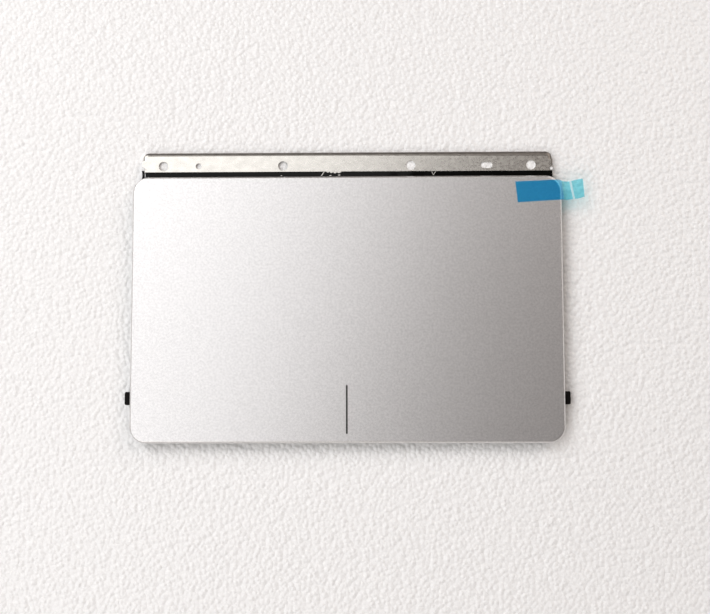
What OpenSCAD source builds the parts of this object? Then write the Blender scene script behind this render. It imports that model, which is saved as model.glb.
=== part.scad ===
// Laptop clickpad module: a touch plate on a stamped carrier that tips about thin
// spring leaves behind it, with a click switch near its front edge.
// Origin: middle of the screw line on the flange's top face. +X right, +Y to the rear, +Z up.

/* [Touch plate] */
// Width of the touch plate
pad_w = 105; // [90:1:125]
// Depth of the touch plate
pad_d = 65; // [56:1:80]
// Corner radius of the touch plate
pad_corner_r = 4; // [3:0.5:6]
// Thickness of the touch plate
cover_t = 0.7; // [0.55:0.05:1.1]
// Height and width of the bevel round the top edge
cover_bevel = 0.3; // [0.1:0.05:0.4]
// Length of the line that parts the two click zones
divider_len = 11.8; // [6:0.2:20]
// Width of the dividing line
divider_w = 0.45; // [0.3:0.05:0.8]
// Depth of the dividing line's groove
divider_t = 0.08; // [0.05:0.01:0.15]
// Distance from the plate's front edge to the dividing line
divider_margin = 2.2; // [1.5:0.1:6]

/* [Layers] */
// Thickness of each adhesive sheet
adhesive_t = 0.1; // [0.05:0.01:0.2]
// Thickness of the circuit board
board_t = 1; // [0.8:0.1:1.2]
// Distance that the circuit board stands back from the touch plate's edge
board_inset = 1.3; // [1:0.1:2]
// Distance that the carrier stands back from the circuit board's edge
carrier_inset = 0.2; // [0.1:0.05:0.5]
// Distance that an adhesive sheet stands back from the sheet it holds
adhesive_inset = 0.5; // [0.3:0.1:1]

/* [Mounting flange] */
// Distance that each end of the flange stands back from the touch plate's side
flange_inset = 1.9; // [0.5:0.1:3]
// Thickness of the flange's sheet
flange_t = 0.5; // [0.4:0.05:0.6]
// Distance from the screw line to the flange's front edge
flange_front = 1.45; // [1.45:0.05:1.7]
// Distance from the screw line to the flange's rear face
flange_rear = 3.5; // [3.3:0.1:5]
// Distance from the screw line to the touch plate's rear edge
pad_gap = 3; // [2.9:0.1:4]
// Height of the flange's turned-down lip
lip_h = 1.8; // [1.7:0.1:2.6]
// Outer radius of the lip's bend
lip_bend_r = 1; // [0.8:0.1:1.2]
// Radius of the flange's rear corners, seen from above
flange_corner_r = 1.6; // [1.4:0.1:2]
// Length of the lip's return along each end
lip_return = 0.5; // [0.3:0.1:1]
// Diameter of the screw holes
screw_d = 2.4; // [2:0.1:2.6]
// Distance from each end of the flange to its outer screw hole
screw_end = 5.3; // [4.5:0.1:7]
// Spacing of the inner pair of screw holes
screw_inner_spacing = 31.5; // [26:0.5:36]
// Diameter of the round locating hole
locator_d = 1.5; // [1:0.1:2]
// Distance from the left outer screw hole to the round locating hole
locator_step = 8.7; // [5:0.1:12]
// Distance from the right outer screw hole to the middle of the locating slot
slot_step = 10.9; // [6:0.1:12]
// Length of the locating slot, end to end
slot_l = 3; // [2.2:0.1:4]
// Width of the locating slot
slot_w = 1.6; // [1.2:0.1:2]
// Radius of the relief at each front corner of the flange
notch_r = 0.75; // [0.5:0.05:1]

/* [Spring leaves] */
// Width of a spring leaf
leaf_w = 8; // [6:0.5:10]
// Thickness of a spring leaf
leaf_t = 0.2; // [0.1:0.05:0.25]
// Length of leaf that lies under the flange
leaf_rear_hold = 3.2; // [2.5:0.1:3.6]
// Length of leaf that lies under the carrier
leaf_front_hold = 4.5; // [4:0.1:6]
// Width of the window in the middle of a leaf
leaf_window_w = 3.5; // [2:0.5:5]
// Clearance between a leaf's front end and the carrier above it
leaf_clear = 0.1; // [0.06:0.01:0.15]
// Diameter of a leaf rivet's shank
rivet_d = 1.2; // [0.8:0.1:1.4]
// Diameter of a leaf rivet's head
rivet_head_d = 2.2; // [2:0.1:2.6]
// Thickness of a leaf rivet's head
rivet_head_t = 0.3; // [0.2:0.05:0.4]

/* [Dust strip] */
// Thickness of the black strip that closes the gap behind the touch plate
strip_t = 0.35; // [0.2:0.05:0.4]
// Gap between the strip's front edge and the carrier
strip_clear = 0.4; // [0.2:0.05:0.8]

/* [Click switch] */
// Side length of the switch base
switch_w = 5.2; // [4.8:0.1:6]
// Height of the switch base
switch_h = 1; // [0.9:0.05:1.1]
// Distance from the touch plate's front edge to the middle of the switch
switch_margin = 10; // [8:0.5:14]
// Radius of the well that holds the snap dome
dome_r = 1.9; // [1.8:0.05:2.1]
// Height of the snap dome
dome_h = 0.42; // [0.38:0.01:0.45]
// Thickness of the snap dome
dome_t = 0.06; // [0.04:0.01:0.08]
// Depth of the well
dome_well = 0.62; // [0.6:0.01:0.68]
// Thickness of the switch's metal cover
switch_cover_t = 0.15; // [0.1:0.01:0.2]
// Radius of the button's tip
button_r = 1; // [0.8:0.05:1.1]
// Distance that the button stands out of the switch's cover
button_out = 0.55; // [0.4:0.05:0.6]

/* [Cable connector] */
// Number of contacts
contact_count = 10; // [6:1:12]
// Spacing of the contacts
contact_pitch = 0.5; // [0.5:0.05:0.6]
// Depth of the connector from its solder tails to its mouth
conn_d = 4; // [3.6:0.1:4.4]
// Height of the connector
conn_h = 1.2; // [1.1:0.05:1.3]
// Thickness of the locking flap
flap_t = 0.44; // [0.38:0.02:0.46]
// Length of the locking flap from its pivot to its lip
flap_l = 1.5; // [1.3:0.1:1.7]

/* [Circuit parts] */
// Side length of the touch controller
controller_w = 6; // [5:0.5:7]
// Height of the touch controller
controller_h = 0.8; // [0.6:0.05:0.9]
// Length of a small chip part
chip_l = 1; // [0.8:0.1:1.2]
// Number of capacitors on each side of the controller
capacitor_rows = 4; // [2:1:5]
// Number of resistors beyond the capacitors
resistor_rows = 5; // [2:1:6]

/* [Trim] */
// Length of an ear along the plate's side
ear_l = 3.2; // [2.8:0.1:5]
// Distance that an ear stands out beyond the touch plate
ear_out = 1.5; // [1.2:0.1:2]
// Distance from the plate's front edge to the middle of an ear
ear_margin = 10.8; // [8:0.2:14]
// Length of a corner bumper
bumper_l = 8; // [5:0.5:12]
// Width of a corner bumper
bumper_w = 3.5; // [2.5:0.1:5]

/* [Protective film] */
// Thickness of the film
film_t = 0.06; // [0.05:0.01:0.1]
// Length of the pull tab's part that is stuck to the film and reaches its crease
tab_l = 13.4; // [10:0.1:15]
// Length of the pull tab's free end, beyond the crease
tab_end_l = 3.2; // [2:0.1:6]
// Width of the pull tab
tab_w = 5.05; // [4:0.05:7]
// Distance that the tab's crease lies outside the plate's side edge
tab_crease_out = 2.1; // [1.5:0.1:3]
// Distance from the plate's rear edge to the tab's rear corner
tab_margin = 0.9; // [0.6:0.05:6]
// Angle of the tab to the plate's rear edge
tab_tilt = 3; // [0:0.5:5]

/* [Hidden] */
$fn = 48;
overrun = 1;
hair = 0.02;
running_clear = 0.05;
side_clear = 0.15;
window_clear = 0.6;

// Heights of the layers, from the flange's top face, which is also the carrier's
carrier_t = flange_t - leaf_clear;
carrier_z = -carrier_t;
board_z = adhesive_t;
cover_z = board_z + board_t + adhesive_t;
pad_top = cover_z + cover_t;
film_z = pad_top;
tab_z = film_z + film_t;
rest_z = -lip_h;

// Plan of the layers
pad_rear = -pad_gap;
pad_front = pad_rear - pad_d;
pad_mid = pad_rear - pad_d / 2;
board_w = pad_w - 2 * board_inset;
board_d = pad_d - 2 * board_inset;
board_corner_r = pad_corner_r - board_inset;
board_rear = pad_rear - board_inset;
carrier_w = board_w - 2 * carrier_inset;
carrier_d = board_d - 2 * carrier_inset;
carrier_corner_r = board_corner_r - carrier_inset;
carrier_rear = board_rear - carrier_inset;
carrier_front = carrier_rear - carrier_d;

// Height of the corner relief's centre above the flange's front edge, in radii
notch_share = 0.8;

// Flange and its holes
flange_w = pad_w - 2 * flange_inset;
screw_outer_x = flange_w / 2 - screw_end;
locator_x = screw_outer_x - locator_step;
slot_x = screw_outer_x - slot_step;

// Spring leaves: one in the middle and one half way between the inner screw and the slot
leaf_top = -flange_t;
leaf_z = leaf_top - leaf_t;
leaf_side_x = (screw_inner_spacing / 2 + slot_x) / 2;
leaf_xs = [-leaf_side_x, 0, leaf_side_x];
leaf_rear_y = leaf_rear_hold - flange_front;
leaf_front_y = carrier_rear - leaf_front_hold;
hinge_y = (-flange_front + carrier_rear) / 2;
hinge_z = leaf_z + leaf_t / 2;
rivet_y = leaf_front_y + rivet_head_d / 2 + side_clear;
rivet_dx = (leaf_w - rivet_head_d) / 2 - side_clear;

// Switch
switch_y = pad_front + switch_margin;
switch_z = board_z - switch_h;
well_floor = switch_z + dome_well;
dome_crown = well_floor - dome_h;
button_flange_r = dome_r - side_clear;
button_bottom = switch_z - switch_cover_t - button_out;
terminal_w = 0.6;
terminal_t = 0.12;
terminal_out = 0.7;
terminal_dy = switch_w / 2 - terminal_w;
switch_leg_w = 2.4;
switch_window_w = switch_w + 2 * terminal_out + 2 * window_clear;
switch_window_d = switch_w + 2 * window_clear;

// Connector, with its mouth to the rear
contact_span = (contact_count - 1) * contact_pitch;
contact_w = 0.2;
contact_t = 0.12;
contact_tail = 0.7;
mouth_margin = 0.5;
mouth_w = contact_span + 2 * mouth_margin;
cheek_w = 0.9;
conn_w = mouth_w + 2 * cheek_w;
conn_x = 22;
conn_window_w = conn_w + 4 * window_clear;
conn_window_d = conn_d + contact_tail + 2 * window_clear;
conn_y = leaf_front_y - conn_window_d / 2 - 4 * window_clear;
conn_front = conn_y - conn_window_d / 2 + window_clear + contact_tail;
conn_rear = conn_front + conn_d;
conn_bottom = board_z - conn_h;
mouth_h = 0.35;
mouth_roof_t = 0.25;
mouth_top = board_z - mouth_roof_t;
mouth_l = conn_d - 2 * mouth_margin;
beam_z = mouth_top - contact_t;
flap_w = mouth_w + 2 * side_clear;
flap_pivot_y = conn_rear - flap_l + flap_t / 2;
flap_pivot_z = conn_bottom + flap_t / 2;
pivot_r = 0.1;
pivot_l = 0.4;
anchor_w = 0.5;
anchor_l = 1.4;
anchor_t = 0.15;

// Controller group
controller_x = -20;
controller_y = conn_y;
chip_w = chip_l / 2;
chip_h = chip_l / 2;
chip_x = controller_w / 2 + chip_l / 2 + window_clear;
resistor_x = chip_x + chip_l + window_clear;
regulator_l = 2.9;
regulator_w = 1.6;
regulator_h = 0.75;
lead_w = 0.4;
lead_t = 0.15;
lead_out = 0.6;
lead_pitch = 0.95;
regulator_x = -resistor_x - regulator_w / 2;
controller_window_w = 2 * (regulator_w / 2 + lead_out + window_clear - regulator_x);
controller_window_d = controller_w + 4 * window_clear;

// Stiffening beads pressed into the carrier
bead_w = 2.4;
bead_h = 0.25;
bead_margin = 9;
bead_l = carrier_w - 2 * bead_margin;
bead_y_shares = [-0.12, 0.12];

// Ears
ear_y = pad_front + ear_margin;
ear_t = 1.2;
ear_top = ear_t / 3;
ear_wall = 0.4;
ear_tab_l = ear_l - 2 * ear_wall;
ear_x = board_w / 2 + side_clear;
ear_end = pad_w / 2 + ear_out;
ear_corner_r = 0.6;

// Bumpers
bumper_inset = 3.5;
bumper_x = carrier_w / 2 - bumper_l / 2 - bumper_inset;
bumper_y = carrier_front + bumper_w / 2 + side_clear;

// Film and pull tab
film_w = pad_w - 2 * cover_bevel - 2 * side_clear;
film_d = pad_d - 2 * cover_bevel - 2 * side_clear;
film_corner_r = pad_corner_r - cover_bevel - side_clear;
tab_t = film_t;
crease_x = pad_w / 2 + tab_crease_out;
crease_y = pad_rear - tab_margin;

// Shapes that several pieces share

module rounded_rect(w, d, r) {
    square([w - 2 * r, d], center = true);
    square([w, d - 2 * r], center = true);
    for (sx = [-1, 1], sy = [-1, 1])
        translate([sx * (w / 2 - r), sy * (d / 2 - r)]) circle(r = r);
}

module stadium(l, w) {
    square([l - w, w], center = true);
    for (s = [-1, 1])
        translate([s * (l - w) / 2, 0]) circle(d = w);
}

module box_between(low, high) {
    translate(low) cube(high - low);
}

module both_sides() {
    children();
    mirror([1, 0, 0]) children();
}

// Plan of the windows that let the circuit parts through the carrier and its adhesive
module windows(grow) {
    translate([0, switch_y])
        square([switch_window_w + 2 * grow, switch_window_d + 2 * grow], center = true);
    translate([conn_x, conn_y])
        square([conn_window_w + 2 * grow, conn_window_d + 2 * grow], center = true);
    translate([controller_x, controller_y])
        square([controller_window_w + 2 * grow, controller_window_d + 2 * grow], center = true);
}

// Mounting flange, fixed to the computer

module lip_section() {
    translate([0, -flange_t]) square([flange_corner_r - lip_bend_r, flange_t]);
    translate([flange_corner_r - lip_bend_r, -lip_bend_r])
        intersection() {
            difference() {
                circle(r = lip_bend_r);
                circle(r = lip_bend_r - flange_t);
            }
            square(lip_bend_r);
        }
    translate([flange_corner_r - flange_t, -lip_h]) square([flange_t, lip_h - lip_bend_r]);
}

module flange_outline() {
    corner_y = flange_rear - flange_corner_r;
    straight_y = corner_y - lip_return;
    inner_x = flange_w / 2 - flange_corner_r;
    translate([-flange_w / 2, -flange_front]) square([flange_w, straight_y + flange_front]);
    translate([-inner_x, straight_y]) square([2 * inner_x, lip_return]);
}

module flange_holes() {
    for (x = [screw_outer_x, screw_inner_spacing / 2], s = [-1, 1])
        translate([s * x, 0, -flange_t - overrun]) cylinder(d = screw_d, h = flange_t + 2 * overrun);
    translate([-locator_x, 0, -flange_t - overrun]) cylinder(d = locator_d, h = flange_t + 2 * overrun);
    translate([slot_x, 0, -flange_t - overrun]) linear_extrude(flange_t + 2 * overrun)
        stadium(slot_l, slot_w);
    for (s = [-1, 1])
        translate([s * flange_w / 2, -flange_front + notch_share * notch_r, -flange_t - overrun])
            cylinder(r = notch_r, h = flange_t + 2 * overrun);
}

module mounting_flange() {
    corner = [flange_w / 2 - flange_corner_r, flange_rear - flange_corner_r, 0];
    color("silver") difference() {
        union() {
            translate([0, 0, -flange_t]) linear_extrude(flange_t) flange_outline();
            translate([-corner.x, corner.y, 0]) rotate([90, 0, 90])
                linear_extrude(2 * corner.x) lip_section();
            both_sides() {
                translate(corner) rotate_extrude(angle = 90) lip_section();
                translate(corner) rotate([90, 0, 0]) linear_extrude(lip_return) lip_section();
            }
        }
        flange_holes();
    }
}

module hinge_leaves() {
    window_d = -flange_front - carrier_rear;
    color("lightsteelblue") for (x = leaf_xs) translate([x, 0, leaf_z]) difference() {
        translate([-leaf_w / 2, leaf_front_y, 0])
            cube([leaf_w, leaf_rear_y - leaf_front_y, leaf_t]);
        translate([-leaf_window_w / 2, hinge_y - window_d / 2, -overrun])
            cube([leaf_window_w, window_d, leaf_t + 2 * overrun]);
        for (s = [-1, 1])
            translate([s * rivet_dx, rivet_y, -overrun])
                cylinder(d = rivet_d + 2 * running_clear, h = leaf_t + 2 * overrun);
    }
}

module dust_strip() {
    front_y = carrier_rear + strip_clear;
    color([0.06, 0.06, 0.06])
        box_between([-flange_w / 2, front_y, leaf_top], [flange_w / 2, -flange_front, leaf_top + strip_t]);
}

// Layers of the pad

module cover_bevel_ring() {
    low = [pad_w / 2 - pad_corner_r, pad_d / 2 - pad_corner_r];
    for (sx = [-1, 1], sy = [-1, 1])
        translate([sx * low.x, sy * low.y, 0])
            cylinder(r1 = pad_corner_r, r2 = pad_corner_r - cover_bevel, h = cover_bevel);
    rotate([90, 0, 90]) translate([0, 0, -low.x]) linear_extrude(2 * low.x)
        polygon([[-pad_d / 2, 0], [pad_d / 2, 0],
            [pad_d / 2 - cover_bevel, cover_bevel], [-pad_d / 2 + cover_bevel, cover_bevel]]);
    rotate([90, 0, 0]) translate([0, 0, -low.y]) linear_extrude(2 * low.y)
        polygon([[-pad_w / 2, 0], [pad_w / 2, 0],
            [pad_w / 2 - cover_bevel, cover_bevel], [-pad_w / 2 + cover_bevel, cover_bevel]]);
}

module divider_bar(depth, rise) {
    translate([0, pad_front + divider_margin + divider_len / 2, pad_top - depth])
        linear_extrude(depth + rise) square([divider_w, divider_len], center = true);
}

module touch_cover() {
    color([0.78, 0.78, 0.79]) difference() {
        translate([0, pad_mid, cover_z]) {
            linear_extrude(cover_t - cover_bevel) rounded_rect(pad_w, pad_d, pad_corner_r);
            translate([0, 0, cover_t - cover_bevel]) cover_bevel_ring();
        }
        divider_bar(divider_t, overrun);
    }
}

module divider_line() {
    color([0.3, 0.3, 0.31]) divider_bar(divider_t, 0);
}

module sheet(w, d, r, z, t) {
    translate([0, pad_mid, z]) linear_extrude(t) rounded_rect(w, d, r);
}

module cover_adhesive() {
    color([0.85, 0.85, 0.8]) sheet(board_w - 2 * adhesive_inset, board_d - 2 * adhesive_inset,
        board_corner_r - adhesive_inset, cover_z - adhesive_t, adhesive_t);
}

module circuit_board() {
    color([0.05, 0.07, 0.06]) sheet(board_w, board_d, board_corner_r, board_z, board_t);
}

module plate_adhesive() {
    color([0.85, 0.85, 0.8]) difference() {
        sheet(carrier_w - 2 * adhesive_inset, carrier_d - 2 * adhesive_inset,
            carrier_corner_r - adhesive_inset, 0, adhesive_t);
        translate([0, 0, -overrun]) linear_extrude(adhesive_t + 2 * overrun)
            windows(carrier_inset);
    }
}

module bead_plan(grow) {
    for (share = bead_y_shares)
        translate([0, pad_mid - bead_margin + share * carrier_d]) stadium(bead_l + grow, bead_w + grow);
}

module carrier_plate() {
    color([0.72, 0.73, 0.75]) difference() {
        union() {
            sheet(carrier_w, carrier_d, carrier_corner_r, carrier_z, carrier_t);
            translate([0, 0, carrier_z - bead_h]) linear_extrude(bead_h) bead_plan(0);
            both_sides() box_between([carrier_w / 2 - ear_tab_l, ear_y - ear_tab_l / 2, carrier_z],
                [ear_end - ear_wall, ear_y + ear_tab_l / 2, 0]);
        }
        translate([0, 0, carrier_z - overrun]) linear_extrude(carrier_t + 2 * overrun) windows(0);
        translate([0, 0, -bead_h]) linear_extrude(bead_h + overrun) bead_plan(-2 * bead_h);
        for (x = leaf_xs, s = [-1, 1])
            translate([x + s * rivet_dx, rivet_y, carrier_z - overrun])
                cylinder(d = rivet_d, h = carrier_t + 2 * overrun);
    }
}

module leaf_rivets() {
    color("gainsboro") for (x = leaf_xs, s = [-1, 1]) translate([x + s * rivet_dx, rivet_y, 0]) {
        translate([0, 0, leaf_z]) cylinder(d = rivet_d, h = -leaf_z);
        translate([0, 0, leaf_z - rivet_head_t]) cylinder(d = rivet_head_d, h = rivet_head_t);
    }
}

// Circuit parts on the underside of the board

module touch_controller() {
    color([0.1, 0.1, 0.11]) translate([controller_x, controller_y, board_z - controller_h / 2])
        cube([controller_w, controller_w, controller_h], center = true);
}

module voltage_regulator() {
    color([0.13, 0.13, 0.14]) translate([controller_x + regulator_x, controller_y, board_z]) {
        translate([0, 0, -lead_t / 2 - regulator_h / 2])
            cube([regulator_w, regulator_l, regulator_h], center = true);
        for (i = [-1:1], s = [-1, 1])
            translate([s * (regulator_w + lead_out) / 2, i * lead_pitch, -lead_t / 2])
                cube([lead_out + 2 * hair, lead_w, lead_t], center = true);
    }
}

module chip_column(x, count) {
    pitch = controller_w / count;
    for (i = [0:count - 1])
        translate([controller_x + x, controller_y + (i - (count - 1) / 2) * pitch, board_z - chip_h / 2])
            cube([chip_l, chip_w, chip_h], center = true);
}

module capacitors() {
    color([0.6, 0.45, 0.3]) for (s = [-1, 1]) chip_column(s * chip_x, capacitor_rows);
}

module resistors() {
    color([0.08, 0.08, 0.08]) chip_column(resistor_x, resistor_rows);
}

module conn_place() {
    translate([conn_x, 0, 0]) children();
}

module connector_housing() {
    back_y = flap_pivot_y - flap_t / 2 - running_clear;
    recess_w = flap_w + 2 * running_clear;
    color([0.9, 0.88, 0.82]) conn_place() difference() {
        box_between([-conn_w / 2, conn_front, conn_bottom], [conn_w / 2, conn_rear, board_z]);
        // Mouth for the flat cable
        box_between([-mouth_w / 2, conn_rear - mouth_l, mouth_top - mouth_h],
            [mouth_w / 2, conn_rear + overrun, mouth_top]);
        // Room for the flap, open below and to the rear
        box_between([-recess_w / 2, back_y, conn_bottom - overrun],
            [recess_w / 2, conn_rear + overrun, mouth_top - mouth_h + hair]);
        // Sockets for the flap's pivots
        for (s = [-1, 1]) translate([s * (flap_w / 2 + pivot_l / 2), flap_pivot_y, flap_pivot_z])
            rotate([0, 90, 0])
                cylinder(r = pivot_r + running_clear, h = pivot_l + 2 * running_clear, center = true);
        // Grooves for the contacts
        for (i = [0:contact_count - 1])
            translate([i * contact_pitch - contact_span / 2, 0, 0])
                box_between([-contact_w / 2, conn_front - overrun, beam_z],
                    [contact_w / 2, conn_rear - mouth_l + hair, board_z + overrun]);
    }
}

module connector_contacts() {
    color("goldenrod") conn_place() for (i = [0:contact_count - 1])
        translate([i * contact_pitch - contact_span / 2 - contact_w / 2, 0, 0])
            rotate([90, 0, 90]) linear_extrude(contact_w) polygon([
                [conn_front - contact_tail, board_z], [conn_front, board_z],
                [conn_front + contact_t, mouth_top], [conn_rear - mouth_margin, mouth_top],
                [conn_rear - mouth_margin, beam_z], [conn_front, beam_z],
                [conn_front - contact_t, board_z - contact_t],
                [conn_front - contact_tail, board_z - contact_t]]);
}

module connector_anchors() {
    color("silver") conn_place() for (s = [-1, 1])
        translate([s * (conn_w + anchor_w) / 2, conn_rear - anchor_l, board_z - anchor_t / 2])
            cube([anchor_w, anchor_l, anchor_t], center = true);
}

module connector_flap() {
    color([0.25, 0.2, 0.17]) conn_place() difference() {
        union() {
            box_between([-flap_w / 2, flap_pivot_y, conn_bottom],
                [flap_w / 2, conn_rear, conn_bottom + flap_t]);
            translate([0, flap_pivot_y, flap_pivot_z]) rotate([0, 90, 0]) {
                cylinder(d = flap_t, h = flap_w, center = true);
                cylinder(r = pivot_r, h = flap_w + 2 * pivot_l, center = true);
            }
        }
        // Thin grip along the flap's rear edge
        box_between([-flap_w / 2 - overrun, conn_rear - flap_t, conn_bottom - overrun],
            [flap_w / 2 + overrun, conn_rear + overrun, conn_bottom + flap_t / 3]);
    }
}

module switch_place() {
    translate([0, switch_y, 0]) children();
}

module switch_base() {
    color([0.12, 0.12, 0.13]) switch_place() difference() {
        translate([0, 0, switch_z]) linear_extrude(switch_h) rounded_rect(switch_w, switch_w, side_clear);
        translate([0, 0, switch_z - overrun]) cylinder(r = dome_r, h = dome_well + overrun);
    }
}

module dome_solid(r, h, z) {
    // Spherical cap of rim radius r and height h, crown down
    ball_r = (r * r + h * h) / (2 * h);
    intersection() {
        translate([0, 0, z - h + ball_r]) sphere(r = ball_r);
        translate([0, 0, z - h - overrun]) cylinder(r = r, h = h + overrun);
    }
}

module switch_dome() {
    rim_r = dome_r - running_clear;
    color("whitesmoke") switch_place() difference() {
        dome_solid(rim_r, dome_h, well_floor);
        dome_solid(rim_r - dome_t, dome_h - dome_t, well_floor);
    }
}

module switch_cover() {
    leg_h = switch_h / 2;
    color("silver") switch_place() {
        translate([0, 0, switch_z - switch_cover_t]) linear_extrude(switch_cover_t) difference() {
            rounded_rect(switch_w, switch_w, side_clear);
            circle(r = button_r + running_clear);
        }
        for (s = [0, 1]) mirror([0, s, 0]) {
            box_between([-switch_leg_w / 2, switch_w / 2 - side_clear, switch_z - switch_cover_t],
                [switch_leg_w / 2, switch_w / 2 + switch_cover_t, switch_z]);
            box_between([-switch_leg_w / 2, switch_w / 2, switch_z - switch_cover_t],
                [switch_leg_w / 2, switch_w / 2 + switch_cover_t, switch_z + leg_h]);
        }
    }
}

module switch_terminals() {
    color("silver") switch_place() for (sx = [-1, 1], sy = [-1, 1])
        translate([sx * (switch_w + terminal_out) / 2, sy * terminal_dy, board_z - terminal_t / 2])
            cube([terminal_out, terminal_w, terminal_t], center = true);
}

module switch_button() {
    flange_top = dome_crown - hair;
    color([0.85, 0.83, 0.78]) switch_place() {
        translate([0, 0, button_bottom]) cylinder(r = button_r, h = switch_z - button_bottom);
        translate([0, 0, switch_z]) cylinder(r = button_flange_r, h = flange_top - switch_z);
    }
}

// Trim

module ear_caps() {
    color([0.04, 0.04, 0.04]) both_sides() translate([0, ear_y, 0]) difference() {
        translate([ear_x, 0, ear_top - ear_t]) linear_extrude(ear_t) {
            translate([0, -ear_l / 2]) square([ear_end - ear_x - ear_corner_r, ear_l]);
            translate([0, -ear_l / 2 + ear_corner_r])
                square([ear_end - ear_x, ear_l - 2 * ear_corner_r]);
            for (s = [-1, 1])
                translate([ear_end - ear_x - ear_corner_r, s * (ear_l / 2 - ear_corner_r)])
                    circle(r = ear_corner_r);
        }
        translate([ear_x - overrun, -ear_tab_l / 2, carrier_z])
            cube([ear_end - ear_wall - ear_x + overrun, ear_tab_l, carrier_t]);
    }
}

module corner_bumpers() {
    color([0.1, 0.1, 0.1]) for (s = [-1, 1]) translate([s * bumper_x, bumper_y, rest_z])
        linear_extrude(carrier_z - rest_z) rounded_rect(bumper_l, bumper_w, side_clear);
}

// Protective film with its pull tab

module protective_film() {
    color([0.8, 0.85, 0.9, 0.3]) sheet(film_w, film_d, film_corner_r, film_z, film_t);
}

module tab_strip(from, to) {
    translate([crease_x, crease_y, tab_z]) rotate([0, 0, tab_tilt])
        translate([from, -tab_w, 0]) cube([to - from, tab_w, tab_t]);
}

module pull_tab() {
    color([0.15, 0.5, 0.72]) tab_strip(-tab_l, 0);
}

module pull_tab_end() {
    color([0.35, 0.7, 0.8]) tab_strip(0, tab_end_l);
}

mounting_flange();
hinge_leaves();
dust_strip();
touch_cover();
divider_line();
cover_adhesive();
circuit_board();
touch_controller();
voltage_regulator();
capacitors();
resistors();
connector_housing();
connector_contacts();
connector_anchors();
connector_flap();
switch_base();
switch_dome();
switch_cover();
switch_terminals();
switch_button();
plate_adhesive();
carrier_plate();
leaf_rivets();
ear_caps();
corner_bumpers();
protective_film();
pull_tab();
pull_tab_end();
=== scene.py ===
import math

import bmesh
import bpy
from mathutils import Matrix, Quaternion, Vector


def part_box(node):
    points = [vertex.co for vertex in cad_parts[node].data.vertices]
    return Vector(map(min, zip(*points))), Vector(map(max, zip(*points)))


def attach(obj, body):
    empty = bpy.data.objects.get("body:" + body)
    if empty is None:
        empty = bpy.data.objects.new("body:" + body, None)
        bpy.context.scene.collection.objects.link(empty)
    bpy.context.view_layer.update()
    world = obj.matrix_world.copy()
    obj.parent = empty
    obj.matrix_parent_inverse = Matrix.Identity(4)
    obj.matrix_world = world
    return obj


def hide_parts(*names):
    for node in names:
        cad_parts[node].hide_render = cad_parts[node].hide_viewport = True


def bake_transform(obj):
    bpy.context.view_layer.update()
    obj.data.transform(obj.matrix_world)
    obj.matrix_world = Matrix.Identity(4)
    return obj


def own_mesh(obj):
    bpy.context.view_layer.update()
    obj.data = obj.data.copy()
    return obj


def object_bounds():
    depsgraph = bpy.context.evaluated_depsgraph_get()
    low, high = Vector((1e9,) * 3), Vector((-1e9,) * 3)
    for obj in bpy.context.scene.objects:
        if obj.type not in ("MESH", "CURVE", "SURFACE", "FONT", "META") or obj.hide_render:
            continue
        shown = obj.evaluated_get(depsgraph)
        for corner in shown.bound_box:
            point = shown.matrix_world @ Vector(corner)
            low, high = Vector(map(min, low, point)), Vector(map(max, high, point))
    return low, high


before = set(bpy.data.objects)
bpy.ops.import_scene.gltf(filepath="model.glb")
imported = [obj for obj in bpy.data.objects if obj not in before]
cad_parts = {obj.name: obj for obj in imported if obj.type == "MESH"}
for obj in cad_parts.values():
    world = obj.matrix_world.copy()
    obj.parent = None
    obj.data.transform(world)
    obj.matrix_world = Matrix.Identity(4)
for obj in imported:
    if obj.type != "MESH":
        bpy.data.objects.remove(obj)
cad_low, cad_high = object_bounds()

# The scene is in metres, and so are the lamps. Shapes are in millimetres until a mesh is made
MM = 0.001

# Camera, in millimetres and degrees: it looks down on the pad, a little from the front
CAMERA_PLACE = (6.454, -58.983, 273.649)
CAMERA_ROLL = 0.183
CAMERA_YAW = -0.932
CAMERA_PITCH = -5.002
CAMERA_ANGLE = 35
# Nearest and farthest that the camera sees, in metres
CAMERA_NEAR = 0.01
CAMERA_FAR = 20

# Small gap that keeps two faces from lying in one plane
HAIR = 0.01
# Angle past which an edge is crisp, and angle up to which two faces are one flat face
CRISP_ANGLE = math.radians(35)
FLAT_ANGLE = math.radians(0.5)
# Points of a CAD mesh that are closer than this, in metres, are one
WELD = 1e-7
# How far the middle of a rounded edge lies from each of its faces, as a share of its width
EASE = 0.3


def box_mm(node):
    """The lowest and highest corners of a CAD node, in millimetres."""
    low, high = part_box(node)
    return low / MM, high / MM


def middle_of(low, high):
    """The middle of a box, seen from above."""
    return (low.x + high.x) / 2, (low.y + high.y) / 2


PAD_LOW, PAD_HIGH = box_mm("touch_cover")
STRIP_LOW, STRIP_HIGH = box_mm("dust_strip")
FLANGE_HIGH = box_mm("mounting_flange")[1]
BOARD_LOW = box_mm("circuit_board")[0]


# Camera and light

def make_camera():
    data = bpy.data.cameras.new("photo_camera")
    data.sensor_fit = "HORIZONTAL"
    data.angle = math.radians(CAMERA_ANGLE)
    data.clip_start = CAMERA_NEAR
    data.clip_end = CAMERA_FAR
    camera = bpy.data.objects.new("photo_camera", data)
    bpy.context.scene.collection.objects.link(camera)
    turn = Matrix.Rotation(math.radians(CAMERA_ROLL), 4, "Z")
    turn = turn @ Matrix.Rotation(math.radians(CAMERA_YAW), 4, "Y")
    turn = turn @ Matrix.Rotation(math.radians(CAMERA_PITCH), 4, "X")
    camera.matrix_world = Matrix.Translation(Vector(CAMERA_PLACE) * MM) @ turn.transposed()
    bpy.context.scene.camera = camera


NEUTRAL = (1, 1, 1)
WARM = (1, 0.88, 0.8)
OVER_PAD = (0, -0.03, 0)
UNDER_CEILING_LAMP = (-0.49, 0.168, 0)
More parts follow.
